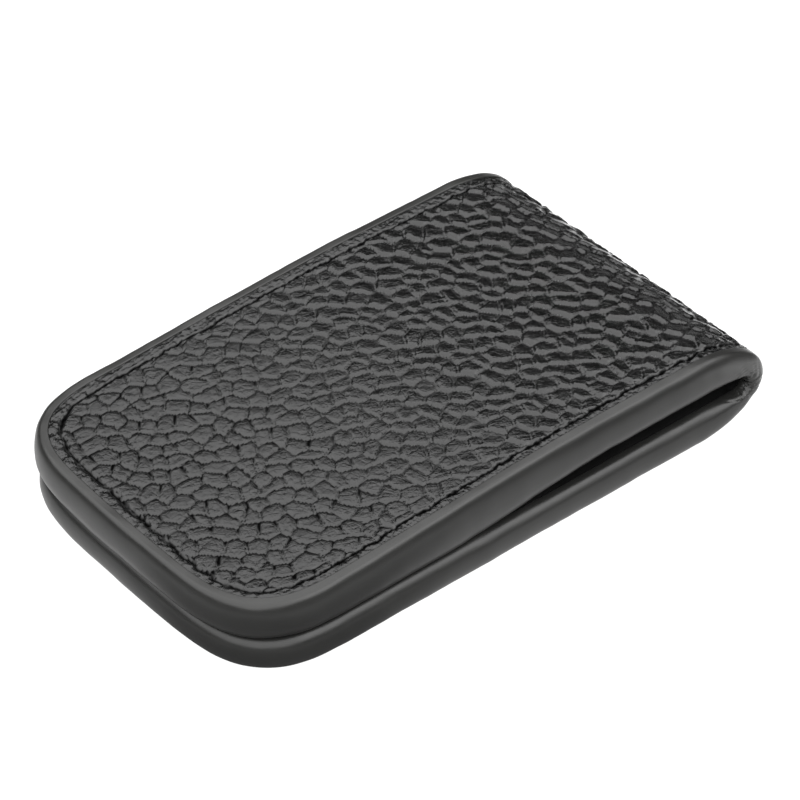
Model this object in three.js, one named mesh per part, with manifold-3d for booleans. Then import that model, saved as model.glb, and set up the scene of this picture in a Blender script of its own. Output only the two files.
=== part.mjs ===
// A folded leather money clip: two padded leather legs joined by one fold and closed by magnets.
// Units are millimetres and +Z is up. The lower leg lies on its back, with the fold at +X and the
// free ends at -X. Shapes are drawn with x = 0 at the free end of the upper leg, and each body's
// group then centres the clip on x = 0.
import * as THREE from "three";
import { mergeVertices } from "three/addons/utils/BufferGeometryUtils.js";
import Module from "manifold-3d";

const wasm = await Module();
wasm.setup();

// Driving dimensions of the closed clip
const clipLength = 70;
const clipWidth = 42.5;
const clipHeight = 10.8;

// Lower leg: a flat slab whose free end sits slightly behind the upper one
const lowerThickness = 3.8;
const lowerSetback = 0.4;

// Upper leg: it touches the lower leg over its free half, then arches up to leave the slot for folded notes
const legGap = 0.1;
const upperFreeTop = 8.7;
const slotHeight = 2.2;
const slotStart = 25;
const slotFull = 49;
const topFull = 49;

// Outline of a leg seen from above: rounded corners and a slightly bowed free end
const cornerSize = 13.6;
const cornerExponent = 3.05;
const freeEndBow = 0.95;

// Layers of a leg, from the outside in
const leatherThickness = 1;
const liningThickness = 0.7;
const boardThickness = 1.3;
const glueGap = 0.05;
const boardGap = 0.1;
const beadDepth = 1.5;
const boardInset = 3;
const boardEnd = 56;
const boardEndGap = 0.3;

// Magnets, two in each board, in pockets that are open above and below
const magnetLength = 10;
const magnetWidth = 15;
const magnetThickness = 1.2;
const magnetCentreX = 12;
const magnetCentreY = 9;
const magnetPocketGap = 0.15;

// Fold: half an ellipse of outer leather, pared thinner in its middle part, which turns between the legs
const foldDepth = 9.5;
const foldHalfHeight = clipHeight / 2;
const foldCentreX = clipLength - foldDepth;
const foldCentreZ = clipHeight / 2;
const foldPartAngle = THREE.MathUtils.degToRad(38);
const foldWallX = clipLength - 1.4;
const slotCornerX = clipLength - 2.3;
const foldLeatherThickness = 0.5;
const bodyGap = 0.3;

// Fineness of the curves
const cornerSteps = 10;
const freeEndSteps = 6;
const foldSteps = 5;
const arcStep = Math.PI / 30;
const rimSteps = 10;
const sideStep = 4;
const cutMargin = 2;

const { clamp, lerp, smoothstep } = THREE.MathUtils;
const halfWidth = clipWidth / 2;
const insideInset = beadDepth + glueGap;
const slotTop = lowerThickness + slotHeight;

// Heights of the upper leg's two faces along the clip
function upperBottom(x) {
  return lerp(lowerThickness + legGap, slotTop, smoothstep(x, slotStart, slotFull));
}

function upperTop(x) {
  return lerp(upperFreeTop, clipHeight, smoothstep(x, 0, topFull));
}

// A point of the fold's ellipse moved inwards by an inset; the angle is 0 at the tip and positive upwards
function foldPoint(inset, angle) {
  const x = foldCentreX + (foldDepth - inset) * Math.cos(angle);
  return new THREE.Vector2(x, foldCentreZ + (foldHalfHeight - inset) * Math.sin(angle));
}

// The angle of the inset ellipse at a height
function foldAngle(inset, z) {
  return Math.asin((z - foldCentreZ) / (foldHalfHeight - inset));
}

// Points of the inset ellipse from one angle to another
function foldArc(inset, from, to) {
  const points = [];
  const count = Math.ceil(Math.abs(to - from) / arcStep);
  for (let i = 0; i <= count; i++) {
    points.push(foldPoint(inset, lerp(from, to, i / count)));
  }
  return points;
}

// Points along a height curve, from one x to another
function curvePoints(height, from, to) {
  const points = [];
  const count = Math.ceil(Math.abs(to - from) / sideStep);
  for (let i = 0; i <= count; i++) {
    const x = lerp(from, to, i / count);
    points.push(new THREE.Vector2(x, height(x)));
  }
  return points;
}

// The outline's half from the straight near side to the middle of the free end, before it is bowed
function nearHalfOutline() {
  const points = [];
  for (let x = foldCentreX; x > cornerSize + sideStep / 2; x -= sideStep) {
    points.push([x, -halfWidth]);
  }
  const power = 2 / cornerExponent;
  for (let i = 0; i <= cornerSteps; i++) {
    const turn = ((Math.PI / 2) * i) / cornerSteps;
    const x = cornerSize * (1 - Math.sin(turn) ** power);
    const y = -halfWidth + cornerSize * (1 - Math.cos(turn) ** power);
    points.push([x, y]);
  }
  for (let i = 1; i <= freeEndSteps; i++) {
    points.push([0, (-halfWidth + cornerSize) * (1 - i / freeEndSteps)]);
  }
  return points;
}

// The whole outline from the fold on the near side, round the free end, to the fold on the far side.
// Each point has its place and the outward direction there.
function legOutline(setback) {
  const near = nearHalfOutline();
  const far = near.slice(0, -1).reverse().map(([x, y]) => [x, -y]);
  const places = near.concat(far).map(([x, y]) => {
    const fade = clamp(1 - x / (2 * cornerSize), 0, 1);
    return new THREE.Vector2(x + (setback + freeEndBow * (y / halfWidth) ** 2) * fade, y);
  });
  return places.map((place, i) => {
    const before = places[Math.max(i - 1, 0)];
    const after = places[Math.min(i + 1, places.length - 1)];
    const along = after.clone().sub(before).normalize();
    return { place, outward: new THREE.Vector2(-along.y, along.x) };
  });
}

// The outline moved inwards by an inset, closed straight across beyond the fold
function planShape(setback, inset, endX) {
  const moved = ({ place, outward }) => place.clone().addScaledVector(outward, -inset);
  const points = legOutline(setback).map(moved).filter((point) => point.x < endX);
  points.unshift(new THREE.Vector2(endX, -halfWidth + inset));
  points.push(new THREE.Vector2(endX, halfWidth - inset));
  return new THREE.Shape(points);
}

// A closed mesh as a solid that can be cut
function solidFrom(geometry) {
  const bare = geometry.clone();
  bare.deleteAttribute("normal");
  bare.deleteAttribute("uv");
  const merged = mergeVertices(bare, 1e-4);
  const mesh = new wasm.Mesh({
    numProp: 3,
    vertProperties: merged.attributes.position.array,
    triVerts: new Uint32Array(merged.index.array),
  });
  return new wasm.Manifold(mesh);
}

// A solid back as a mesh geometry
function geometryFrom(solid) {
  const mesh = solid.getMesh();
  const geometry = new THREE.BufferGeometry();
  geometry.setAttribute("position", new THREE.BufferAttribute(mesh.vertProperties, 3));
  geometry.setIndex(new THREE.BufferAttribute(mesh.triVerts, 1));
  geometry.computeVertexNormals();
  return geometry;
}

// A side profile in X and Z, extruded across the whole width
function acrossWidth(points) {
  const depth = clipWidth + 2 * cutMargin;
  const geometry = new THREE.ExtrudeGeometry(new THREE.Shape(points), { depth, bevelEnabled: false });
  geometry.rotateX(Math.PI / 2);
  geometry.translate(0, depth / 2, 0);
  return solidFrom(geometry);
}

// A shape in X and Y, extruded through the whole height
function throughHeight(shape) {
  const depth = clipHeight + 2 * cutMargin;
  const geometry = new THREE.ExtrudeGeometry(shape, { depth, bevelEnabled: false });
  geometry.translate(0, 0, -cutMargin);
  return solidFrom(geometry);
}

// A layer of a leg: its side profile trimmed to the leg's outline
function legLayer(profile, setback, inset = insideInset, endX = clipLength + cutMargin) {
  return acrossWidth(profile).intersect(throughHeight(planShape(setback, inset, endX)));
}

// The line that parts a leg from the fold, from the outer surface to the slot's corner, moved along X.
// side is -1 for the lower leg and 1 for the upper leg.
function partingLine(side, shift) {
  const outer = foldPoint(0, side * foldPartAngle);
  const corner = new THREE.Vector2(slotCornerX, side < 0 ? lowerThickness : slotTop);
  const move = new THREE.Vector2(shift, 0);
  return { outer: outer.add(move), corner: corner.add(move) };
}

// A parting line drawn out past both its ends by twice its own length, clear of both outer faces
function longPartingLine(side, shift) {
  const { outer, corner } = partingLine(side, shift);
  const reach = outer.clone().sub(corner).multiplyScalar(2);
  return { outer: outer.clone().add(reach), corner: corner.clone().sub(reach) };
}

// Everything on the leg's side of its parting line, as a solid across the width
function legSide(side) {
  const { outer, corner } = longPartingLine(side, -bodyGap / 2);
  return acrossWidth([
    new THREE.Vector2(-cutMargin, corner.y),
    corner,
    outer,
    new THREE.Vector2(-cutMargin, outer.y),
  ]);
}

const lowerSide = legSide(-1);
const upperSide = legSide(1);

// Outer leather of the lower leg: flat underneath, then curling up into the fold
function lowerLeatherSolid() {
  const profile = [
    new THREE.Vector2(-cutMargin, 0),
    ...foldArc(0, -Math.PI / 2, 0),
    ...foldArc(leatherThickness, 0, -Math.PI / 2),
    new THREE.Vector2(-cutMargin, leatherThickness),
  ];
  return legLayer(profile, lowerSetback).intersect(lowerSide);
}

// Lining of the lower leg: the flat face that the notes lie on
function lowerLiningSolid() {
  const bottom = lowerThickness - liningThickness;
  const profile = [
    new THREE.Vector2(-cutMargin, bottom),
    new THREE.Vector2(clipLength, bottom),
    new THREE.Vector2(clipLength, lowerThickness),
    new THREE.Vector2(-cutMargin, lowerThickness),
  ];
  return legLayer(profile, lowerSetback).intersect(lowerSide);
}

// Foam of the lower leg: a thin sheet under the board that fills the leg beyond the board's end
function lowerFoamSolid() {
  const bottom = leatherThickness + glueGap;
  const top = lowerThickness - liningThickness - boardGap;
  const underBoard = top - boardThickness - glueGap;
  const endX = boardEnd + boardEndGap;
  const profile = [
    new THREE.Vector2(-cutMargin, bottom),
    ...foldArc(bottom, -Math.PI / 2, foldAngle(bottom, top)),
    new THREE.Vector2(endX, top),
    new THREE.Vector2(endX, underBoard),
    new THREE.Vector2(-cutMargin, underBoard),
  ];
  return legLayer(profile, lowerSetback).intersect(lowerSide);
}

// Outer leather of the upper leg: it arches over the foam, then curls down into the fold
function upperLeatherSolid() {
  const profile = [
    ...curvePoints((x) => upperTop(x) - leatherThickness, -cutMargin, foldCentreX),
    ...foldArc(leatherThickness, Math.PI / 2, 0).slice(1),
    ...foldArc(0, 0, Math.PI / 2),
    ...curvePoints(upperTop, foldCentreX, -cutMargin).slice(1),
  ];
  return legLayer(profile, 0).intersect(upperSide);
}

// Lining of the upper leg: it presses the notes down on the lower leg
function upperLiningSolid() {
  const profile = [
    ...curvePoints(upperBottom, -cutMargin, clipLength),
    ...curvePoints((x) => upperBottom(x) + liningThickness, clipLength, -cutMargin),
  ];
  return legLayer(profile, 0).intersect(upperSide);
}

// Foam of the upper leg: the thick pad over the board, down to the lining beyond the board's end
function upperFoamSolid() {
  const bottom = (x) => upperBottom(x) + liningThickness + boardGap;
  const aboveBoard = (x) => bottom(x) + boardThickness + glueGap;
  const outside = leatherThickness + glueGap;
  const endX = boardEnd + boardEndGap;
  const profile = [
    ...curvePoints(aboveBoard, -cutMargin, endX),
    new THREE.Vector2(endX, bottom(endX)),
    ...foldArc(outside, foldAngle(outside, bottom(clipLength)), Math.PI / 2),
    ...curvePoints((x) => upperTop(x) - outside, foldCentreX, -cutMargin).slice(1),
  ];
  return legLayer(profile, 0).intersect(upperSide);
}

// A pocket or a magnet, as a box on the board's middle height
function magnetBox(side, middleZ, clearance, height) {
  const box = new THREE.BoxGeometry(magnetLength + 2 * clearance, magnetWidth + 2 * clearance, height);
  box.translate(magnetCentreX, side * magnetCentreY, middleZ);
  return box;
}

// A stiffener board that follows its leg's lining, with two pockets for magnets
function boardSolid(bottom, setback) {
  const profile = [
    ...curvePoints(bottom, -cutMargin, boardEnd),
    ...curvePoints((x) => bottom(x) + boardThickness, boardEnd, -cutMargin),
  ];
  const middleZ = bottom(magnetCentreX) + boardThickness / 2;
  let board = legLayer(profile, setback, boardInset, boardEnd);
  for (const side of [-1, 1]) {
    board = board.subtract(solidFrom(magnetBox(side, middleZ, magnetPocketGap, 2 * boardThickness)));
  }
  return board;
}

const lowerBoardBottom = () => lowerThickness - liningThickness - boardGap / 2 - boardThickness;
const upperBoardBottom = (x) => upperBottom(x) + liningThickness + boardGap / 2;

// One cross-section of an edge bead: a half ellipse bulging outwards between two points of the side profile
function beadSection(low, high, place, outward) {
  const points = [];
  for (let i = 0; i <= rimSteps; i++) {
    const turn = -Math.PI / 2 + (Math.PI * i) / rimSteps;
    const rise = (1 + Math.sin(turn)) / 2;
    const bulge = beadDepth * Math.cos(turn);
    const x = place.x + low.x + (high.x - low.x) * rise + outward.x * bulge;
    const y = place.y + outward.y * bulge;
    const z = low.y + (high.y - low.y) * rise;
    points.push([x, y, z]);
  }
  return points;
}

// A closed solid through a row of cross-sections that all have the same number of points
function loft(sections) {
  const count = sections[0].length;
  const vertices = sections.flat(2);
  const faces = [];
  for (let s = 0; s + 1 < sections.length; s++) {
    for (let i = 0; i < count; i++) {
      const a = s * count + i;
      const b = s * count + ((i + 1) % count);
      faces.push(a, b, a + count, b, b + count, a + count);
    }
  }
  const last = (sections.length - 1) * count;
  for (let i = 1; i + 1 < count; i++) {
    faces.push(0, i + 1, i, last, last + i, last + i + 1);
  }
  const geometry = new THREE.BufferGeometry();
  geometry.setAttribute("position", new THREE.BufferAttribute(new Float32Array(vertices), 3));
  geometry.setIndex(faces);
  geometry.computeVertexNormals();
  return geometry;
}

// Sections of a leg's bead along the stretch that curls with the fold, from the flat part to the parting line
function foldSections(side, face, y) {
  const sections = [];
  const { corner } = partingLine(side, -bodyGap / 2);
  const outward = new THREE.Vector2(0, Math.sign(y));
  for (let i = 1; i <= foldSteps; i++) {
    const share = i / foldSteps;
    const rim = foldPoint(0, side * lerp(Math.PI / 2, foldPartAngle, share));
    rim.x -= (share * bodyGap) / 2;
    const slotFace = new THREE.Vector2(lerp(foldCentreX, corner.x, share), face);
    const low = side < 0 ? rim : slotFace;
    const high = side < 0 ? slotFace : rim;
    sections.push(beadSection(low, high, new THREE.Vector2(0, y), outward));
  }
  return sections;
}

// The painted edge bead of one leg, from the fold along one side, round the free end and back again
function legBead(side, bottom, top, setback) {
  const inner = halfWidth - beadDepth;
  const round = legOutline(setback).map(({ place, outward }) => {
    const root = place.clone().addScaledVector(outward, -beadDepth);
    const low = new THREE.Vector2(0, bottom(root.x));
    const high = new THREE.Vector2(0, top(root.x));
    return beadSection(low, high, root, outward);
  });
  const face = side < 0 ? top(foldCentreX) : bottom(foldCentreX);
  const near = foldSections(side, face, -inner).reverse();
  const far = foldSections(side, face, inner);
  return loft([...near, ...round, ...far]);
}

// Points of the fold's inner wall, the blunt end of the slot, from the lower corner to the upper one
function slotEnd() {
  const low = partingLine(-1, bodyGap / 2).corner;
  const high = partingLine(1, bodyGap / 2).corner;
  const points = [];
  const steps = 2 * foldSteps;
  for (let i = 0; i <= steps; i++) {
    const share = i / steps;
    const depth = (foldWallX - low.x) * Math.sin(Math.PI * share);
    points.push(new THREE.Vector2(low.x + depth, lerp(low.y, high.y, share)));
  }
  return points;
}

// Everything between the two parting lines, as a solid across the width
function foldSide() {
  return acrossWidth([
    partingLine(-1, bodyGap / 2).corner,
    longPartingLine(-1, bodyGap / 2).outer,
    new THREE.Vector2(clipLength + cutMargin, -cutMargin),
    new THREE.Vector2(clipLength + cutMargin, clipHeight + cutMargin),
    longPartingLine(1, bodyGap / 2).outer,
    partingLine(1, bodyGap / 2).corner,
  ]);
}

// The fold's own strips stop at the beads on both sides
function betweenBeads(solid) {
  const half = halfWidth - insideInset;
  const strip = new THREE.Shape([
    new THREE.Vector2(foldCentreX, -half),
    new THREE.Vector2(clipLength + cutMargin, -half),
    new THREE.Vector2(clipLength + cutMargin, half),
    new THREE.Vector2(foldCentreX, half),
  ]);
  return solid.intersect(throughHeight(strip));
}

// Outer leather round the middle of the fold
function foldLeatherSolid() {
  const half = Math.PI / 2;
  const profile = [...foldArc(0, -half, half), ...foldArc(foldLeatherThickness, half, -half)];
  return betweenBeads(acrossWidth(profile).intersect(foldSide()));
}

// Lining and filler inside the fold, whose inner face is the blunt end of the slot
function foldLiningSolid() {
  const half = Math.PI / 2;
  const profile = [...foldArc(foldLeatherThickness + glueGap, -half, half), ...slotEnd().reverse()];
  return betweenBeads(acrossWidth(profile).intersect(foldSide()));
}

// The painted edge bead across one end of the fold
function foldBead(y) {
  const walls = slotEnd();
  const outward = new THREE.Vector2(0, Math.sign(y));
  const sections = walls.map((wall, i) => {
    const share = i / (walls.length - 1);
    const rim = foldPoint(0, lerp(-foldPartAngle, foldPartAngle, share));
    rim.x += (bodyGap / 2) * (1 - Math.sin(Math.PI * share));
    return beadSection(wall, rim, new THREE.Vector2(0, y), outward);
  });
  return loft(y < 0 ? sections : sections.reverse());
}

// Materials
function leatherMaterial() {
  return new THREE.MeshStandardMaterial({ color: 0x1e1e1f, roughness: 0.5, metalness: 0 });
}

function liningMaterial() {
  return new THREE.MeshStandardMaterial({ color: 0x18181a, roughness: 0.75, metalness: 0 });
}

function edgePaintMaterial() {
  return new THREE.MeshStandardMaterial({ color: 0x3a3a38, roughness: 0.38, metalness: 0 });
}

function foamMaterial() {
  return new THREE.MeshStandardMaterial({ color: 0x2c2c2e, roughness: 0.95, metalness: 0 });
}

function boardMaterial() {
  return new THREE.MeshStandardMaterial({ color: 0x75685a, roughness: 0.9, metalness: 0 });
}

function magnetMaterial() {
  return new THREE.MeshStandardMaterial({ color: 0xb8bac0, roughness: 0.25, metalness: 1 });
}

// A named mesh from a geometry or a solid
function piece(name, shape, material) {
  const geometry = shape.isBufferGeometry ? shape : geometryFrom(shape);
  const mesh = new THREE.Mesh(geometry, material);
  mesh.name = name;
  return mesh;
}

// The group of one body, with the clip's middle length on x = 0
function bodyGroup(meshes) {
  const group = new THREE.Group();
  group.position.x = -clipLength / 2;
  group.add(...meshes);
  return group;
}

// The two magnets of a leg, each in its pocket
function magnets(leg, boardBottom) {
  const middleZ = boardBottom(magnetCentreX) + boardThickness / 2;
  return [["near", -1], ["far", 1]].map(([end, side]) =>
    piece(`${leg}_magnet_${end}`, magnetBox(side, middleZ, 0, magnetThickness), magnetMaterial()),
  );
}

function lowerLeg() {
  const bottom = () => 0;
  const top = () => lowerThickness;
  return bodyGroup([
    piece("lower_outer_leather", lowerLeatherSolid(), leatherMaterial()),
    piece("lower_foam_pad", lowerFoamSolid(), foamMaterial()),
    piece("lower_stiffener_board", boardSolid(lowerBoardBottom, lowerSetback), boardMaterial()),
    ...magnets("lower", lowerBoardBottom),
    piece("lower_lining", lowerLiningSolid(), liningMaterial()),
    piece("lower_edge_bead", legBead(-1, bottom, top, lowerSetback), edgePaintMaterial()),
  ]);
}

function upperLeg() {
  return bodyGroup([
    piece("upper_outer_leather", upperLeatherSolid(), leatherMaterial()),
    piece("upper_foam_pad", upperFoamSolid(), foamMaterial()),
    piece("upper_stiffener_board", boardSolid(upperBoardBottom, 0), boardMaterial()),
    ...magnets("upper", upperBoardBottom),
    piece("upper_lining", upperLiningSolid(), liningMaterial()),
    piece("upper_edge_bead", legBead(1, upperBottom, upperTop, 0), edgePaintMaterial()),
  ]);
}

function foldStrip() {
  const rimY = halfWidth - beadDepth;
  return bodyGroup([
    piece("fold_outer_leather", foldLeatherSolid(), leatherMaterial()),
    piece("fold_lining", foldLiningSolid(), liningMaterial()),
    piece("fold_edge_bead_near", foldBead(-rimY), edgePaintMaterial()),
    piece("fold_edge_bead_far", foldBead(rimY), edgePaintMaterial()),
  ]);
}

const clip = new THREE.Group();
clip.add(lowerLeg(), foldStrip(), upperLeg());

export default clip;
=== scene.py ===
import math

import bpy
import numpy as np
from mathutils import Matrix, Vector


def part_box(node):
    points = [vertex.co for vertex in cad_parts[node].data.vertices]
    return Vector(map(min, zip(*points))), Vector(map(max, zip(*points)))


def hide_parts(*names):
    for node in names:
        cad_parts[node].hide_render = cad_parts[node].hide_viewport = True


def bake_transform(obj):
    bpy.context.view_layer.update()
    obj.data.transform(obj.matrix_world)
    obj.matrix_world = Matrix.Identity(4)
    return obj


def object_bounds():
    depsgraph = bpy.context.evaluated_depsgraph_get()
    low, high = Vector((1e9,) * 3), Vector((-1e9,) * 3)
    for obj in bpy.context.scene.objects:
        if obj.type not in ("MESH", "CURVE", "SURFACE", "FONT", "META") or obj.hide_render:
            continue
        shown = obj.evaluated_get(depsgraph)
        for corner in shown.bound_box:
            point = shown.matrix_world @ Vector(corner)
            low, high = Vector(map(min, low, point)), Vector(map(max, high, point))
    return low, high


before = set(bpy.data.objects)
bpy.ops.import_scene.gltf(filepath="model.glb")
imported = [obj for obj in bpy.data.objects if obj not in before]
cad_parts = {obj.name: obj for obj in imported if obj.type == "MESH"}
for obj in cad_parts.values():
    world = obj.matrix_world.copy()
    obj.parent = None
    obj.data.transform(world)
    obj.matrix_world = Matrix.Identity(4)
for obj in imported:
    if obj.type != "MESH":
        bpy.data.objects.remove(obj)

# The looks of a folded leather money clip over its CAD bodies. Shapes are worked out in millimetres
# with x = 0 at the free end of the upper leg, and go into the scene in metres in the row frame.
cad_low, cad_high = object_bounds()
MM = 0.001
LENGTH, WIDTH, HEIGHT = ((high - low) / MM for low, high in zip(cad_low, cad_high))
HALF_WIDTH = WIDTH / 2
CENTRE_X = cad_low[0] / MM

LOWER_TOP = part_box("lower_edge_bead")[1][2] / MM
LOWER_SETBACK = (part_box("lower_edge_bead")[0][0] - cad_low[0]) / MM
UPPER_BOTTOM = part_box("upper_edge_bead")[0][2] / MM

# Side profile of the upper leg and the slot
FREE_TOP = 8.7
SLOT_TOP = 6.0
SLOT_START = 25.0
ARCH_END = 49.0

# Fold: half an ellipse outside, with the slot's blunt end inside
FOLD_DEPTH = 9.5
FOLD_X = LENGTH - FOLD_DEPTH
FOLD_Z = HEIGHT / 2
SLOT_MIDDLE = (LOWER_TOP + SLOT_TOP) / 2
SLOT_END_X = LENGTH - 2.4
SLOT_END_DEPTH = 1.5

# Outline from above
CORNER = 13.6
CORNER_POWER = 3.05
FREE_END_BOW = 0.95

# Edge bead: a flat lip beside the leather, then a rounded rim
BEAD_DEPTH = 1.62
RIM_DEPTH = 0.92
TIP_RIM_DEPTH = 0.8
SLOT_SIDE_ROUNDING = 1.55
RIM_POWER = 2.2
LIP_HEIGHT = 0.04
LIP_WIDTH = 0.5

# Leather grain
PEBBLE = 2.25
LEATHER_STEP = 0.219
LEATHER_THICKNESS = 0.85
LINING_THICKNESS = 0.5
CREASE_INSET = 0.95
SEED = 7

# Light: sky above its dim rim, and the pool of light on the floor that the clip's sides mirror
SKY_LIGHT = 2.55
SKY_DARK = 0.02
WINDOW_LIGHT = 1.1
BACKDROP_LIGHT = 1.5
FLOOR_LIGHT = 0.68
FLOOR_DARK = 0.0
FOLD_GLOW = 2.2


def smooth(x, start, end):
    """0 before start, 1 after end, and a smooth rise between."""
    t = np.clip((x - start) / (end - start), 0, 1)
    return t * t * (3 - 2 * t)


def upper_top(x):
    return FREE_TOP + (HEIGHT - FREE_TOP) * smooth(x, 0, ARCH_END)


def upper_bottom(x):
    return UPPER_BOTTOM + (SLOT_TOP - UPPER_BOTTOM) * smooth(x, SLOT_START, ARCH_END)


def waves(x, y, scale, seed, count=9):
    """Smooth noise of about -1 to 1, with features about scale wide."""
    rng = np.random.default_rng(seed)
    total = np.zeros(np.broadcast(x, y).shape)
    for angle, phase, stretch in zip(
        rng.uniform(0, math.tau, count), rng.uniform(0, math.tau, count), rng.uniform(0.6, 1.5, count)
    ):
        along = np.cos(angle) * x + np.sin(angle) * y
        total += np.sin(math.tau * along / (scale * 2 * stretch) + phase)
    return total / math.sqrt(count)


class Strip:
    """A side profile from the upper leg's free end, round the fold and back along the lower leg, by the distance
    along it from the middle of the fold: negative on the upper leg, positive on the lower leg."""

    def __init__(self, points, middle):
        points = np.array(points)
        steps = np.hypot(*np.diff(points, axis=0).T)
        distance = np.concatenate([[0], np.cumsum(steps)])
        nearest = np.argmin(np.hypot(*(points - middle).T))
        self.s = distance - distance[nearest]
        self.points = points
        along = np.gradient(points, self.s, axis=0)
        width = 9
        kernel = np.ones(width) / width
        along = np.stack([np.convolve(np.pad(a, width // 2, "edge"), kernel, "valid") for a in along.T], 1)
        along /= np.linalg.norm(along, axis=1, keepdims=True)
        self.normals = np.stack([-along[:, 1], along[:, 0]], 1)

    def at(self, s):
        """Places (x, z) and outward normals (x, z) at distances s."""
        place = [np.interp(s, self.s, self.points[:, i]) for i in (0, 1)]
        normal = [np.interp(s, self.s, self.normals[:, i]) for i in (0, 1)]
        return place, normal

    def distance(self, x, upper):
        """Distance along the strip at a place x on the straight part of a leg."""
        leg = (self.s <= 0) if upper else (self.s >= 0)
        order = np.argsort(self.points[leg, 0])
        return np.interp(x, self.points[leg, 0][order], self.s[leg][order])


def arc(centre, radii, start, end, count=120):
    """Points of an ellipse's arc between two angles in degrees."""
    turn = np.radians(np.linspace(start, end, count))
    return np.stack([centre[0] + radii[0] * np.cos(turn), centre[1] + radii[1] * np.sin(turn)], 1)


def leather_strip():
    x = np.arange(-4, FOLD_X, 0.1)
    fold = arc((FOLD_X, FOLD_Z), (FOLD_DEPTH, FOLD_Z), 90, -90, 241)
    points = np.concatenate([np.stack([x, upper_top(x)], 1), fold, np.stack([x[::-1], np.zeros(len(x))], 1)])
    return Strip(points, (LENGTH, FOLD_Z))


def lining_strip():
    inner_x = SLOT_END_X - SLOT_END_DEPTH
    x = np.arange(-4, inner_x, 0.1)
    reach = (SLOT_END_DEPTH, (SLOT_TOP - LOWER_TOP) / 2)
    end = arc((inner_x, SLOT_MIDDLE), reach, 90, -90, 121)
    above = np.stack([x, upper_bottom(x)], 1)
    below = np.stack([x[::-1], np.full(len(x), LOWER_TOP)], 1)
    strip = Strip(np.concatenate([above, end, below]), (SLOT_END_X, SLOT_MIDDLE))
    strip.normals *= -1
    return strip


def outline(setback, inset, spacing=0.08):
    """Points and outward directions round the free end, from the straight near side to the far one."""
    quarter = np.linspace(0, math.pi / 2, 200)
    power = 2 / CORNER_POWER
    x = CORNER * (1 - np.sin(quarter) ** power)
    y = -HALF_WIDTH + CORNER * (1 - np.cos(quarter) ** power)
    x = np.concatenate([x, np.zeros(40)])
    y = np.concatenate([y, np.linspace(CORNER - HALF_WIDTH, 0, 41)[1:]])
    x = np.concatenate([x, x[-2::-1]])
    y = np.concatenate([y, -y[-2::-1]])
    x = x + (setback + FREE_END_BOW * (y / HALF_WIDTH) ** 2) * np.clip(1 - x / (2 * CORNER), 0, 1)
    points = np.stack([x, y], 1)
    distance = np.concatenate([[0], np.cumsum(np.hypot(*np.diff(points, axis=0).T))])
    even = np.linspace(0, distance[-1], int(distance[-1] / spacing))
    points = np.stack([np.interp(even, distance, points[:, i]) for i in (0, 1)], 1)
    along = np.gradient(points, axis=0)
    along /= np.linalg.norm(along, axis=1, keepdims=True)
    outward = np.stack([-np.abs(along[:, 1]), np.sign(points[:, 1]) * np.abs(along[:, 0])], 1)
    return points - inset * outward, outward


def edge_distance(x, y, setback, inset):
    """Distance inwards from the edge of a sheet whose outline is inset from the clip's."""
    border, _ = outline(setback, inset, 0.15)
    away = HALF_WIDTH - inset - np.abs(y)
    near_end = (x < CORNER + 3) & (x > -1)
    px, py = x[near_end], y[near_end]
    best = np.full(px.shape, 1e3)
    for bx, by in border:
        best = np.minimum(best, (px - bx) ** 2 + (py - by) ** 2)
    away[near_end] = np.minimum(away[near_end], np.sqrt(best))
    return away


def pebbles(s, y):
    """Distance to the nearest crevice between pebbles, and the steps along and across from the pebble's middle."""
    ps = s + 0.3 * waves(s, y, 3.5, SEED) + 0.06 * waves(s, y, 0.8, SEED + 1)
    py = y + 0.3 * waves(s, y, 3.5, SEED + 2) + 0.06 * waves(s, y, 0.8, SEED + 3)
    row_height = PEBBLE * 0.86
    row = np.floor(ps / row_height).astype(int)
    offset = 200
    rng = np.random.default_rng(SEED)
    jitter = rng.uniform(-0.28, 0.28, (2 * offset, 2 * offset, 2)) * PEBBLE

    def seed_at(i, j):
        shift = 0.5 * (j % 2) * PEBBLE
        jit = jitter[(i + offset) % (2 * offset), (j + offset) % (2 * offset)]
        return (j + 0.5) * row_height + jit[..., 0], (i + 0.5) * PEBBLE + shift + jit[..., 1]

    column = np.floor(py / PEBBLE).astype(int)
    best = np.full(ps.shape, 1e9)
    nearest_s = np.zeros(ps.shape)
    nearest_y = np.zeros(ps.shape)
    neighbours = [(i, j) for i in range(-2, 3) for j in range(-2, 3)]
    for i, j in neighbours:
        ss, sy = seed_at(column + i, row + j)
        gap = (ps - ss) ** 2 + (py - sy) ** 2
        closer = gap < best
        best = np.where(closer, gap, best)
        nearest_s = np.where(closer, ss, nearest_s)
        nearest_y = np.where(closer, sy, nearest_y)
    crevice = np.full(ps.shape, 1e9)
    for i, j in neighbours:
        ss, sy = seed_at(column + i, row + j)
        apart = np.hypot(ss - nearest_s, sy - nearest_y)
        other = apart > 1e-6
        gap = ((ps - ss) ** 2 + (py - sy) ** 2 - best) / (2 * np.where(other, apart, 1))
        crevice = np.where(other, np.minimum(crevice, gap), crevice)
    return crevice, ps - nearest_s, py - nearest_y


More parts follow.
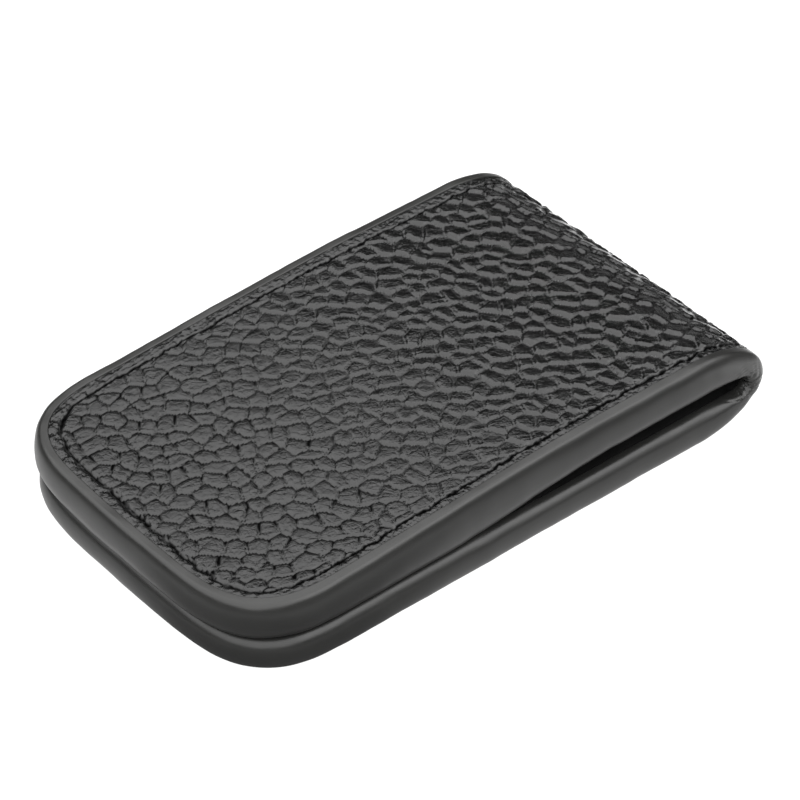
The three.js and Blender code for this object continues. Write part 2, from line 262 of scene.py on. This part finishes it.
def leather_height(s, y, x, edge):
    """Height of the grain over the strip's surface, and a painted shade of 0 to 1: dark in the crevices, more so
    on each pebble's far side, and in the border crease.
    """
    crevice, along, across = pebbles(s, y)
    middle = np.hypot(along, across)
    deep = smooth(x, 10, 58)
    inset = CREASE_INSET + 0.35 * smooth(y, -14, 4)
    inside = smooth(edge, inset - 0.2, inset + 0.5)
    width = 0.32
    dome = np.sqrt(1 - (1 - np.clip(crevice / width, 0, 1)) ** 2)
    relief = 0.2 * (0.35 + 0.65 * inside)
    crown = (0.04 + 0.03 * deep) * (1 - np.clip(middle / PEBBLE / 0.75, 0, 1) ** 2)
    creases = np.clip(1 - 4.5 * np.abs(waves(s, y, 0.75, SEED + 7)), 0, 1)
    creases *= np.exp(-((crevice / 0.55) ** 2)) * (0.1 + 0.9 * deep)
    fine = 0.01 * waves(s, y, 0.35, SEED + 5) + 0.016 * waves(s, y, 0.9, SEED + 6) - 0.06 * creases
    lean = deep * (0.14 * along + 0.06 * across) * inside * np.clip(crevice / 0.3, 0, 1)
    height = relief * (dome - 1) + (crown - 0.06) * inside + fine - lean

    wander = 0.1 * waves(s, y, 1.1, SEED + 8) + 0.05 * waves(s, y, 0.4, SEED + 9)
    crease = np.exp(-(((edge - inset + wander) / 0.17) ** 2))
    crease *= 0.7 + 0.3 * smooth(waves(s, y, 0.6, SEED + 10), -0.6, 0.5)
    band = 1 - smooth(edge, inset - 0.35, inset + 0.25)
    crumple = (0.03 * waves(s, y, 0.32, SEED + 11) + 0.04 * waves(s, y, 0.9, SEED + 12)) * band
    crumple += 0.06 * waves(s, y, 0.3, SEED + 13) * np.exp(-(((edge - inset) / 0.35) ** 2))
    height += crumple - 0.34 * crease - 0.06 * band - 0.04 * (1 - smooth(edge, 0, 0.4))
    # Painted shade: darker in each crevice and on each pebble's far side, weaker towards the fold, and in the
    # border crease; it goes out as the 'crevice' attribute that darkens the leather and dims its reflection.
    far_side = smooth((0.6 * along + 0.8 * across) / np.maximum(middle, 0.1), -0.3, 0.5)
    painted_crevice_shade = np.exp(-((crevice / 0.24) ** 2)) * (0.5 + 0.5 * inside) * (1 - 0.8 * deep) * (0.2 + 0.9 * far_side)
    depth = np.clip(np.maximum(painted_crevice_shade, 1.4 * crease), 0, 1)
    return height, depth


def to_metres(points):
    points = np.array(points, dtype=float)
    points[..., 0] += CENTRE_X
    return points * MM


def make_object(name, vertices, faces, material, normals=None, depth=None):
    """A mesh object. normals, where given, are one per vertex of the shown face, and zero elsewhere. depth, where
    given, is a painted shade per vertex, kept as the 'crevice' attribute.
    """
    mesh = bpy.data.meshes.new(name)
    mesh.from_pydata(to_metres(vertices).tolist(), [], faces)
    mesh.update()
    mesh.polygons.foreach_set("use_smooth", np.ones(len(mesh.polygons), dtype=bool))
    if depth is not None:
        # Painted shade per vertex, read by the leather material to darken its colour and dim its reflection.
        layer = mesh.attributes.new("crevice", "FLOAT", "POINT")
        layer.data.foreach_set("value", np.asarray(depth, dtype=np.float32))
    if normals is not None:
        loop_vertices = np.zeros(len(mesh.loops), dtype=int)
        mesh.loops.foreach_get("vertex_index", loop_vertices)
        sizes = np.zeros(len(mesh.polygons), dtype=int)
        mesh.polygons.foreach_get("loop_total", sizes)
        flat = np.zeros(len(mesh.polygons) * 3)
        mesh.polygons.foreach_get("normal", flat)
        face_normals = np.repeat(flat.reshape(-1, 3), sizes, axis=0)
        custom = np.asarray(normals)[loop_vertices]
        length = np.linalg.norm(custom, axis=1)
        agrees = (custom * face_normals).sum(1) > 0.2
        shown = (length > 0.5) & agrees
        custom = np.where(shown[:, None], custom, face_normals)
        mesh.normals_split_custom_set(custom.tolist())
    piece = bpy.data.objects.new(name, mesh)
    bpy.context.scene.collection.objects.link(piece)
    mesh.materials.append(material)
    return piece


def grid_normals(grid):
    """Normals of a grid of points, by its rows and columns."""
    along = np.gradient(grid, axis=0)
    across = np.gradient(grid, axis=1)
    normals = np.cross(along, across)
    return normals / np.maximum(np.linalg.norm(normals, axis=2, keepdims=True), 1e-12)


def grid_faces(rows, columns, start, flip):
    """Quads between the points of a grid whose first vertex has the number start."""
    index = start + np.arange(rows * columns).reshape(rows, columns)
    quads = np.stack([index[:-1, :-1], index[1:, :-1], index[1:, 1:], index[:-1, 1:]], -1).reshape(-1, 4)
    return (quads[:, ::-1] if flip else quads).tolist()


def sheet(name, strip, upper, setback, inset, step, thickness, height, material, backing_rows=26):
    """A closed sheet of leather or lining on one leg, up to the middle of the fold."""
    border, _ = outline(setback, inset, step)
    border = border[np.abs(border[:, 1]) < HALF_WIDTH - inset - 1e-4]
    first = [border[0][0], -HALF_WIDTH + inset]
    last = [border[-1][0], HALF_WIDTH - inset]
    border = np.concatenate([[first], border, [last]])
    ends = strip.distance(border[:, 0], upper)
    sign = -1 if upper else 1
    rows = int(round(np.abs(ends).max() / step))
    share = np.linspace(0, 1, rows + 1)[:, None]
    beyond = -share[1:2] * sign * 1.0
    s = ends[None, :] * (1 - share)
    s = np.concatenate([s, np.broadcast_to(beyond * step / share[1], (1, len(border)))])
    y = np.broadcast_to(border[:, 1], s.shape)

    def surface(s, y, lift):
        (px, pz), (nx, nz) = strip.at(s)
        return np.stack([px + nx * lift, y, pz + nz * lift], -1)

    x = strip.at(s)[0][0]
    # lift is the grain's height; depth is the painted shade in the crevices and the border crease.
    lift, depth = height(s, np.array(y), x, edge_distance(x, np.array(y), setback, inset))
    face = surface(s, y, lift)
    normals = grid_normals(face)[:-1]
    face, depth = face[:-1], depth[:-1]
    outward = np.stack(np.broadcast_arrays(strip.at(s)[1][0], np.zeros(s.shape), strip.at(s)[1][1]), -1)[:-1]
    flip = (normals * outward).sum() < 0
    if flip:
        normals = -normals
    back_share = np.linspace(0, 1, backing_rows)[:, None]
    back_s = ends[None, :] * (1 - back_share)
    back = surface(back_s, np.broadcast_to(border[:, 1], back_s.shape), -thickness)

    top_rows, columns = face.shape[:2]
    vertices = np.concatenate([face.reshape(-1, 3), back.reshape(-1, 3)])
    top_count = top_rows * columns
    top = np.arange(top_count).reshape(top_rows, columns)
    under = top_count + np.arange(backing_rows * columns).reshape(backing_rows, columns)
    faces = grid_faces(top_rows, columns, 0, flip)
    faces += grid_faces(backing_rows, columns, top_count, not flip)
    for top_edge, under_edge, turned in ((top[0], under[0], True), (top[-1], under[-1], False)):
        quads = np.stack([top_edge[:-1], top_edge[1:], under_edge[1:], under_edge[:-1]], -1)
        faces += (quads[:, ::-1] if turned == flip else quads).tolist()
    for column, turned in ((0, False), (-1, True)):
        ring = list(top[:, column]) + list(under[::-1, column])
        faces.append([int(v) for v in (ring if turned == flip else ring[::-1])])
    all_normals = np.concatenate([normals.reshape(-1, 3), np.zeros((backing_rows * columns, 3))])
    all_painted_shade = np.concatenate([depth.ravel(), np.zeros(backing_rows * columns)])
    return make_object(name, vertices, faces, material, all_normals, all_painted_shade)


def bead_profile(rim_depth, upper):
    """Cross-section of a bead from its low inner edge round to its high one: for each point, how far out it is,
    how far up between the two edges, and a further lift past the nearer edge. It is rounder by the slot."""
    points = [(0.0, 0.0, 0.35), (0.0, 0.0, 0.06), (0.06, 0.0, 0.0), (0.12, 0.0, 0.0)]
    steps = 24
    for i in range(steps + 1):
        turn = -math.pi / 2 + math.pi * i / steps
        by_slot = (turn < 0) == upper
        depth = rim_depth * (SLOT_SIDE_ROUNDING if by_slot else 1)
        out = BEAD_DEPTH - depth + depth * math.cos(turn) ** (2 / RIM_POWER)
        up = (1 + math.copysign(abs(math.sin(turn)) ** (2 / RIM_POWER), math.sin(turn))) / 2
        points.append((out, up, 0.0))
    points += [(0.12, 1.0, 0.0), (0.06, 1.0, 0.0), (0.0, 1.0, -0.06), (0.0, 1.0, -0.35)]
    return np.array(points)


def bead_stations(upper):
    """Stations of a bead from the fold on the near side, round the free end, to the fold on the far side: each
    has its root's y, an outward direction in plan, its low and high edges in x and z, and its rim's depth."""
    setback = 0 if upper else LOWER_SETBACK
    top = upper_top if upper else (lambda x: np.full(np.shape(x), LOWER_TOP))
    bottom = upper_bottom if upper else (lambda x: np.zeros(np.shape(x)))
    roots, outward = outline(setback, BEAD_DEPTH, 0.3)
    side_x = np.arange(FOLD_X, roots[0][0] + 0.2, -0.4)
    steps = 44
    sign = 1 if upper else -1
    rims = arc((FOLD_X, FOLD_Z), (FOLD_DEPTH, FOLD_Z), 0, sign * 90, steps)
    inner_x = SLOT_END_X - SLOT_END_DEPTH
    end = arc((inner_x, SLOT_MIDDLE), (SLOT_END_DEPTH, SLOT_TOP - SLOT_MIDDLE), 0, sign * 90, 60)
    wall_z = SLOT_TOP if upper else LOWER_TOP
    wall = np.concatenate([end, [[FOLD_X, wall_z]]])
    length = np.concatenate([[0], np.cumsum(np.hypot(*np.diff(wall, axis=0).T))])
    share = np.linspace(0, 1, steps)
    walls = np.stack([np.interp(share * length[-1], length, wall[:, i]) for i in (0, 1)], 1)
    lows, highs = (walls, rims) if upper else (rims, walls)
    stations = []
    rim_depths = TIP_RIM_DEPTH + (RIM_DEPTH - TIP_RIM_DEPTH) * smooth(share, 0.1, 0.9)
    for y, fold_order in ((-HALF_WIDTH + BEAD_DEPTH, 1), (HALF_WIDTH - BEAD_DEPTH, -1)):
        side = (0.0, math.copysign(1, y))
        part = [(y, side, low, high, rim) for low, high, rim in zip(lows, highs, rim_depths)]
        part += [(y, side, (x, bottom(x)), (x, top(x)), RIM_DEPTH) for x in side_x[1:]]
        stations.append(part[::fold_order])
    round_end = [
        (y, tuple(out), (x, bottom(x)), (x, top(x)), RIM_DEPTH) for (x, y), out in zip(roots, outward)
    ]
    return stations[0] + round_end + stations[1]


def bead_grid(upper):
    """Points of a bead, one row for each station."""
    rows = []
    for y, out, low, high, rim_depth in bead_stations(upper):
        profile = bead_profile(rim_depth, upper)
        low, high = np.array(low, dtype=float), np.array(high, dtype=float)
        rise = high - low
        tall = np.linalg.norm(rise)
        rise /= tall
        up = profile[:, 1] * tall + profile[:, 2]
        rows.append(np.stack([
            low[0] + rise[0] * up + out[0] * profile[:, 0],
            y + out[1] * profile[:, 0],
            low[1] + rise[1] * up,
        ], 1))
    grid = np.array(rows)
    profile = bead_profile(RIM_DEPTH, upper)
    lip = np.clip(profile[:, 0] / LIP_WIDTH, 0, 1)
    leather_side = profile[:, 1] > 0.5 if upper else profile[:, 1] < 0.5
    raised = LIP_HEIGHT * np.sin(lip * math.pi) * leather_side
    normals = grid_normals(grid)
    centre = grid.mean(axis=1, keepdims=True)
    if ((grid - centre) * normals).sum() < 0:
        normals = -normals
    unevenness = 0.035 * waves(grid[..., 0], grid[..., 1] * 1.3 + grid[..., 2], 6, SEED + 20)
    unevenness += 0.012 * waves(grid[..., 0], grid[..., 1] + grid[..., 2], 1.6, SEED + 22)
    outer = smooth(profile[:, 0], 0.2, 0.8)
    from_end = grid[..., ::2] - np.array([SLOT_END_X - 0.3, SLOT_MIDDLE])
    fans = np.sin(5 * np.arctan2(from_end[..., 1], from_end[..., 0]) + 1.5 * waves(grid[..., 0], grid[..., 2], 1.5, SEED + 24))
    pucker = np.clip(1 - 2.2 * np.abs(fans), 0, 1) * np.exp(-((np.hypot(from_end[..., 0], from_end[..., 1]) / 2.3) ** 2))
    lift = raised + (unevenness - 0.18 * pucker) * outer
    return grid + normals * lift[..., None]


def bead(name, upper, seam_normals, material):
    grid = bead_grid(upper)
    rows, columns = grid.shape[:2]
    normals = grid_normals(grid)
    centre = grid.mean(axis=1, keepdims=True)
    flip = ((grid - centre) * normals).sum() < 0
    if flip:
        normals = -normals
    for end in (0, -1):
        ordered = normals[end] if upper else normals[end][::-1]
        if end in seam_normals:
            ordered = seam_normals[end] + ordered
            ordered /= np.linalg.norm(ordered, axis=1, keepdims=True)
        seam_normals[end] = ordered
        normals[end] = ordered if upper else ordered[::-1]
    vertices = grid.reshape(-1, 3)
    index = np.arange(rows * columns).reshape(rows, columns)
    faces = grid_faces(rows, columns, 0, flip)
    closing = np.stack([index[:-1, -1], index[1:, -1], index[1:, 0], index[:-1, 0]], -1)
    faces += (closing[:, ::-1] if flip else closing).tolist()
    first, last = index[0].tolist(), index[-1].tolist()
    faces.append(first if flip else first[::-1])
    faces.append(last[::-1] if flip else last)
    return make_object(name, vertices, faces, material, normals.reshape(-1, 3))


# Materials


def new_material(name):
    material = bpy.data.materials.new(name)
    material.use_nodes = True
    nodes, links = material.node_tree.nodes, material.node_tree.links
    shader = nodes["Principled BSDF"]
    place = nodes.new("ShaderNodeTexCoord").outputs["Object"]
    return material, nodes, links, shader, place


def noise(nodes, links, place, scale, detail=4.0, roughness=0.55):
    node = nodes.new("ShaderNodeTexNoise")
    node.inputs["Scale"].default_value = scale
    node.inputs["Detail"].default_value = detail
    node.inputs["Roughness"].default_value = roughness
    links.new(place, node.inputs["Vector"])
    return node.outputs["Fac"]


def ramp(nodes, links, value, stops):
    node = nodes.new("ShaderNodeValToRGB")
    elements = node.color_ramp.elements
    while len(elements) < len(stops):
        elements.new(0.5)
    for element, (position, colour) in zip(elements, stops):
        element.position = position
        element.color = (*colour, 1) if isinstance(colour, tuple) else (colour, colour, colour, 1)
    links.new(value, node.inputs["Fac"])
    return node.outputs["Color"]


def bump(nodes, links, height, distance, strength, previous=None):
    node = nodes.new("ShaderNodeBump")
    node.inputs["Distance"].default_value = distance
    node.inputs["Strength"].default_value = strength
    links.new(height, node.inputs["Height"])
    if previous is not None:
        links.new(previous, node.inputs["Normal"])
    return node.outputs["Normal"]


def mix(nodes, links, factor, first, second):
    """A colour between two others; each input is a socket or a value."""
    node = nodes.new("ShaderNodeMix")
    node.data_type = "RGBA"
    for socket, value in zip((node.inputs["Factor"], node.inputs["A"], node.inputs["B"]), (factor, first, second)):
        if isinstance(value, bpy.types.NodeSocket):
            links.new(value, socket)
        elif isinstance(value, tuple):
            socket.default_value = (*value, 1)
        else:
            socket.default_value = value
    return node.outputs["Result"]


def map_range(nodes, links, value, source, target):
    """A smooth step of a value from one range to another."""
    node = nodes.new("ShaderNodeMapRange")
    node.interpolation_type = "SMOOTHSTEP"
    for name, number in zip(("From Min", "From Max", "To Min", "To Max"), (*source, *target)):
        node.inputs[name].default_value = number
    links.new(value, node.inputs["Value"])
    return node.outputs["Result"]


def math_node(nodes, links, operation, first, second):
    node = nodes.new("ShaderNodeMath")
    node.operation = operation
    links.new(first, node.inputs[0])
    links.new(second, node.inputs[1])
    return node.outputs["Value"]


def vector_math(nodes, links, operation, first, second=None):
    """A vector sum; second is a plain vector."""
    node = nodes.new("ShaderNodeVectorMath")
    node.operation = operation
    links.new(first, node.inputs[0])
    if second is not None:
        node.inputs[1].default_value = second
    return node.outputs["Value" if operation in ("LENGTH", "DOT_PRODUCT") else "Vector"]


def heading(azimuth, elevation):
    """A direction from its azimuth and elevation in degrees."""
    turn, rise = math.radians(azimuth), math.radians(elevation)
    return (math.cos(rise) * math.cos(turn), math.cos(rise) * math.sin(turn), math.sin(rise))


def leather_material():
    material, nodes, links, shader, place = new_material("pebbled_leather")
    # Painted shade: the 'crevice' attribute darkens the colour nearly to black, roughens it and dims its
    # reflection in the crevices and the border crease.
    crevice = nodes.new("ShaderNodeAttribute")
    crevice.attribute_name = "crevice"
    depth = crevice.outputs["Fac"]
    mottle = ramp(nodes, links, noise(nodes, links, place, 260), [(0.35, (0.002, 0.002, 0.002)), (0.7, (0.004, 0.004, 0.0039))])
    links.new(mix(nodes, links, depth, mottle, (0.0003, 0.0003, 0.0003)), shader.inputs["Base Color"])
    scuff = noise(nodes, links, place, 900, 6)
    gloss = ramp(nodes, links, scuff, [(0.3, 0.13), (0.7, 0.23)])
    links.new(mix(nodes, links, depth, gloss, (0.6, 0.6, 0.6)), shader.inputs["Roughness"])
    links.new(map_range(nodes, links, depth, (0.35, 0.95), (0.6, 0.02)), shader.inputs["Specular IOR Level"])
    cells = nodes.new("ShaderNodeTexVoronoi")
    cells.feature = "DISTANCE_TO_EDGE"
    cells.inputs["Scale"].default_value = 1150
    links.new(place, cells.inputs["Vector"])
    wrinkle = ramp(nodes, links, cells.outputs["Distance"], [(0.0, 0.0), (0.12, 1.0)])
    normal = bump(nodes, links, wrinkle, 0.00004, 0.35)
    normal = bump(nodes, links, noise(nodes, links, place, 2600, 6, 0.62), 0.00006, 0.85, normal)
    links.new(normal, shader.inputs["Normal"])
    return material


def bead_material():
    material, nodes, links, shader, place = new_material("edge_paint")
    tone = ramp(nodes, links, noise(nodes, links, place, 140), [(0.3, (0.013, 0.013, 0.0123)), (0.7, (0.018, 0.018, 0.017))])
    links.new(tone, shader.inputs["Base Color"])
    links.new(ramp(nodes, links, noise(nodes, links, place, 700), [(0.3, 0.29), (0.7, 0.35)]), shader.inputs["Roughness"])
    normal = bump(nodes, links, noise(nodes, links, place, 500, 3), 0.00003, 0.25)
    normal = bump(nodes, links, noise(nodes, links, place, 6000, 3), 0.00001, 0.2, normal)
    links.new(normal, shader.inputs["Normal"])
    return material


def lining_material():
    material, nodes, links, shader, place = new_material("lining")
    nap = noise(nodes, links, place, 5200, 5, 0.7)
    links.new(ramp(nodes, links, nap, [(0.3, (0.002, 0.002, 0.002)), (0.75, (0.005, 0.005, 0.005))]), shader.inputs["Base Color"])
    rubbed = noise(nodes, links, place, 160, 6, 0.65)
    links.new(ramp(nodes, links, rubbed, [(0.35, 0.5), (0.65, 0.8)]), shader.inputs["Roughness"])
    shader.inputs["Specular IOR Level"].default_value = 0.2
    links.new(bump(nodes, links, nap, 0.00003, 0.5), shader.inputs["Normal"])
    return material


def foam_material():
    material, nodes, links, shader, place = new_material("foam")
    cells = noise(nodes, links, place, 2400, 3, 0.7)
    links.new(ramp(nodes, links, cells, [(0.3, (0.05, 0.05, 0.055)), (0.7, (0.12, 0.12, 0.125))]), shader.inputs["Base Color"])
    shader.inputs["Roughness"].default_value = 0.95
    links.new(bump(nodes, links, cells, 0.0001, 0.8), shader.inputs["Normal"])
    return material


def board_material():
    material, nodes, links, shader, place = new_material("fibre_board")
    fibres = noise(nodes, links, place, 1100, 8, 0.7)
    stops = [(0.3, (0.17, 0.12, 0.075)), (0.7, (0.33, 0.25, 0.17))]
    links.new(ramp(nodes, links, fibres, stops), shader.inputs["Base Color"])
    shader.inputs["Roughness"].default_value = 0.88
    links.new(bump(nodes, links, fibres, 0.00005, 0.6), shader.inputs["Normal"])
    return material


def magnet_material():
    material, nodes, links, shader, place = new_material("magnet_plating")
    brushed = noise(nodes, links, place, 1800, 6, 0.6)
    stops = [(0.3, (0.52, 0.51, 0.49)), (0.7, (0.68, 0.67, 0.65))]
    links.new(ramp(nodes, links, brushed, stops), shader.inputs["Base Color"])
    shader.inputs["Metallic"].default_value = 1.0
    links.new(ramp(nodes, links, brushed, [(0.3, 0.22), (0.7, 0.38)]), shader.inputs["Roughness"])
    links.new(bump(nodes, links, brushed, 0.00001, 0.3), shader.inputs["Normal"])
    return material


# Pieces


def lining_height(s, y, x, edge):
    """A faintly rippled lining that puckers into small creases at the slot's end."""
    ripple = 0.015 * waves(s, y, 3.0, SEED + 30)
    at_end = np.exp(-((s / 3.2) ** 2))
    near_edge = np.exp(-np.clip(edge, 0, None) / 1.3)
    pucker = np.abs(waves(s * 1.6, y * 0.35, 0.8, SEED + 31)) - 0.6
    return ripple - 0.16 * pucker * at_end * (0.25 + 0.75 * near_edge), np.zeros(np.shape(s))


def bend(piece, upper):
    """Bakes the piece's placement into its mesh; the fold's pivot and seam are worked out but not used."""
    edge = HEIGHT if upper else 0
    origin = Vector(to_metres([FOLD_X, 0, edge]))
    seam = Vector(to_metres([SLOT_END_X, 0, FOLD_Z if upper else SLOT_MIDDLE]))
    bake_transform(piece)


def build():
    leather, paint, lining = leather_material(), bead_material(), lining_material()
    outer, inner = leather_strip(), lining_strip()
    seam_normals = {}
    stand_for = {
        ("leather", True): ("upper_outer_leather",),
        ("leather", False): ("lower_outer_leather", "fold_outer_leather"),
        ("lining", True): ("upper_lining",),
        ("lining", False): ("lower_lining", "fold_lining"),
        ("bead", True): ("upper_edge_bead",),
        ("bead", False): ("lower_edge_bead", "fold_edge_bead_near", "fold_edge_bead_far"),
    }
    for upper in (True, False):
        leg = "upper" if upper else "lower"
        setback = 0 if upper else LOWER_SETBACK
        pieces = {
            "leather": sheet(f"{leg}_pebbled_leather", outer, upper, setback, BEAD_DEPTH, LEATHER_STEP,
                             LEATHER_THICKNESS, leather_height, leather),
            "lining": sheet(f"{leg}_slot_lining", inner, upper, setback, BEAD_DEPTH, 0.4,
                            LINING_THICKNESS, lining_height, lining, 60),
            "bead": bead(f"{leg}_painted_bead", upper, seam_normals, paint),
        }
        for kind, piece in pieces.items():
            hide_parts(*stand_for[kind, upper])
            bend(piece, upper)


def dress_hidden_layers():
    finishes = {
        "foam_pad": (foam_material(), "foam"),
        "stiffener_board": (board_material(), "fibre_board"),
        "magnet_near": (magnet_material(), "magnet_plating"),
        "magnet_far": (None, "magnet_plating"),
    }
    plating = finishes["magnet_near"][0]
    for leg in ("lower", "upper"):
        for layer, (material, slot) in finishes.items():
            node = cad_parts[f"{leg}_{layer}"]
            node.data.materials.clear()
            node.data.materials.append(material or plating)


# Stage, light and camera


def make_floor():
    mesh = bpy.data.meshes.new("floor")
    half = 3.0
    corners = [(-half, -half, 0), (half, -half, 0), (half, half, 0), (-half, half, 0)]
    mesh.from_pydata(corners, [], [(0, 1, 2, 3)])
    floor = bpy.data.objects.new("floor", mesh)
    floor.location.z = cad_low[2] - 0.0002
    bpy.context.scene.collection.objects.link(floor)
    material, nodes, links, shader, place = new_material("paper_floor")
    links.new(ramp(nodes, links, noise(nodes, links, place, 40), [(0.3, 0.14), (0.7, 0.16)]), shader.inputs["Base Color"])
    shader.inputs["Roughness"].default_value = 0.9
    shader.inputs["Specular IOR Level"].default_value = 0.0
    # The floor glows: to the camera plain white, in reflections a painted pool of light round the clip, brighter
    # past the fold, with a painted shadow beside the clip at its near corner.
    path = nodes.new("ShaderNodeLightPath")
    beyond = vector_math(nodes, links, "ABSOLUTE", place)
    beyond = vector_math(nodes, links, "SUBTRACT", beyond, (LENGTH / 2 * MM, HALF_WIDTH * MM, 1))
    beyond = vector_math(nodes, links, "MAXIMUM", beyond, (0, 0, 0))
    away = vector_math(nodes, links, "LENGTH", beyond)
    pool = map_range(nodes, links, away, (0.014, 0.036), (FLOOR_LIGHT, FLOOR_DARK))
    along = vector_math(nodes, links, "DOT_PRODUCT", place, (1, 0, 0))
    past_fold = map_range(nodes, links, along, (0.035, 0.042), (1, FOLD_GLOW))
    pool = math_node(nodes, links, "MULTIPLY", pool, past_fold)
    ahead = vector_math(nodes, links, "DOT_PRODUCT", place, heading(-130, 0))
    corner = map_range(nodes, links, ahead, (0.020, 0.030), (1, 0.1))
    past_shadow = map_range(nodes, links, away, (0.008, 0.016), (0, 1))
    pool = math_node(nodes, links, "MULTIPLY", pool, math_node(nodes, links, "MAXIMUM", corner, past_shadow))
    glow = mix(nodes, links, path.outputs["Is Camera Ray"], pool, (1, 1, 1))
    shader.inputs["Emission Strength"].default_value = 1
    links.new(glow, shader.inputs["Emission Color"])
    mesh.materials.append(material)


def make_sky():
    """A wide softbox above the clip, over surroundings that are dim in its reflections and white to the camera."""
    world = bpy.data.worlds.new("studio")
    bpy.context.scene.world = world
    world.use_nodes = True
    nodes, links = world.node_tree.nodes, world.node_tree.links
    direction = nodes.new("ShaderNodeTexCoord").outputs["Generated"]
    overhead = vector_math(nodes, links, "DOT_PRODUCT", direction, heading(-150, 75))
    sky = map_range(nodes, links, overhead, (0.405, 0.475), (SKY_DARK, SKY_LIGHT))
    beside = vector_math(nodes, links, "DOT_PRODUCT", direction, heading(-53, 38))
    window = map_range(nodes, links, beside, (0.8, 0.95), (0, WINDOW_LIGHT))
    behind = vector_math(nodes, links, "DOT_PRODUCT", direction, heading(50, 0))
    height = vector_math(nodes, links, "DOT_PRODUCT", direction, heading(0, 90))
    low = map_range(nodes, links, height, (0.02, 0.06), (BACKDROP_LIGHT, 0))
    backdrop = math_node(nodes, links, "MULTIPLY", low, map_range(nodes, links, behind, (0.3, 0.8), (0, 1)))
    glow = math_node(nodes, links, "ADD", math_node(nodes, links, "ADD", sky, window), backdrop)
    path = nodes.new("ShaderNodeLightPath")
    glow = math_node(nodes, links, "MAXIMUM", glow, path.outputs["Is Camera Ray"])
    background = nodes["Background"]
    background.inputs["Color"].default_value = (1, 1, 1, 1)
    links.new(glow, background.inputs["Strength"])


def make_camera():
    camera = bpy.data.objects.new("camera", bpy.data.cameras.new("camera"))
    camera.data.sensor_width = 36
    camera.data.lens = 170.96
    camera.data.clip_start = 0.01
    target = Vector((6.245, 5.046, 0)) * MM
    azimuth, elevation, away = math.radians(-39.62), math.radians(39.79), 0.4077
    back = Vector((
        math.sin(azimuth) * math.cos(elevation), -math.cos(azimuth) * math.cos(elevation), math.sin(elevation)
    ))
    camera.location = target + back * away
    camera.rotation_euler = (-back).to_track_quat("-Z", "Y").to_euler()
    bpy.context.scene.collection.objects.link(camera)
    bpy.context.scene.camera = camera


build()
dress_hidden_layers()
make_floor()
make_sky()
make_camera()
bpy.context.scene.view_settings.view_transform = "Standard"
